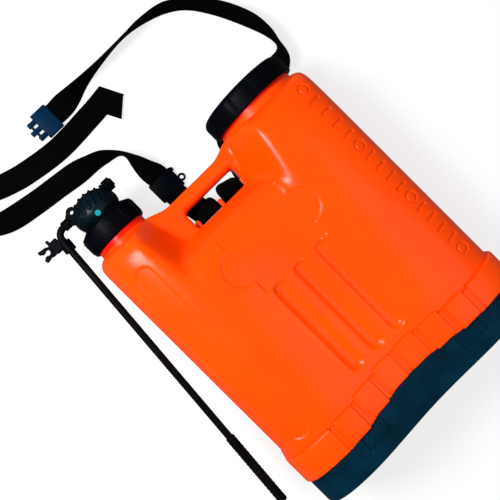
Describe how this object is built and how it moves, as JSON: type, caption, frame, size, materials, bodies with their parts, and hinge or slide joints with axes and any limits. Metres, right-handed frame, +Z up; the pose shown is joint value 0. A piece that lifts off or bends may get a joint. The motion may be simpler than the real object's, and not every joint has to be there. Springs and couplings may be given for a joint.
{
  "type": "backpack sprayer",
  "caption": "Knapsack sprayer lying on its back: two-tower orange tank, black base, screw cap, side lever piston pump and webbing shoulder straps spread beside it.",
  "frame": {"origin": "middle of the foot's underside, half way between the back rails and the front", "axes": "+X to the right seen from the front, +Y up the sprayer from its foot to its caps, +Z out of the front; it lies on its back, so Z is up"},
  "size_m": [0.5149, 0.6665, 0.1703],
  "materials": {
    "orange_plastic": "blow-moulded, half gloss",
    "base_plastic": "moulded, satin",
    "black_plastic": "moulded, satin",
    "buckle_plastic": "moulded, satin",
    "rubber": "matt",
    "lever_grip_plastic": "matt sleeve",
    "black_rod": "black powder coat",
    "bright_steel": "bright drawn",
    "brass": "drawn",
    "clear_pipe": "clear, smooth",
    "webbing": "woven"
  },
  "bodies": {
    "sprayer": {"tank": "orange_plastic", "base": "base_plastic", "base_screws": "bright_steel", "anchor_pins": "bright_steel", "strap_rod": "bright_steel", "filler_strainer": "black_plastic", "pump_seal": "rubber", "pump_head": "black_plastic", "ring_nut": "black_plastic", "outlet_nut": "black_plastic", "pump_barrel": "brass", "foot_valve": "black_plastic", "valve_ball": "bright_steel", "suction_pipe": "clear_pipe", "suction_strainer": "black_plastic", "pivot_pin": "bright_steel", "strap_left": "webbing", "strap_right": "webbing", "adjuster": "buckle_plastic", "hook_buckle": "buckle_plastic"},
    "lever": {"rocker": "black_plastic", "drive_pin": "bright_steel", "lever_rod": "black_rod", "lever_grip": "lever_grip_plastic", "lance_clip": "black_plastic"},
    "piston": {"piston_rod": "bright_steel", "piston": "brass", "piston_cup": "rubber"},
    "cap_seal": {"cap_seal": "rubber"},
    "cap": {"filler_cap": "black_plastic", "cap_vent": "rubber"}
  },
  "joints": [
    {"name": "lever_swing", "type": "hinge", "parent": "sprayer", "child": "lever", "pos_m": [-0.1385, 0.4825, 0], "axis": [0, 0, -1], "range_deg": [0, 50]},
    {"name": "piston_slide", "type": "slide", "parent": "sprayer", "child": "piston", "axis": [0, -1, 0], "range_m": [0, 0.01522]},
    {"name": "seal_slide", "type": "slide", "parent": "sprayer", "child": "cap_seal", "axis": [0, 1, 0], "range_m": [0, 0.00901]},
    {"name": "cap_turn", "type": "hinge", "parent": "cap_seal", "child": "cap", "pos_m": [0.1155, 0.455, 0], "axis": [0, 1, 0], "range_deg": [0, 540]}
  ],
  "couplings": [
    {"joint": "piston_slide", "follows": "lever_swing", "m_per_rad": 0.017434},
    {"joint": "seal_slide", "follows": "cap_turn", "m_per_rad": 0.00095493}
  ]
}
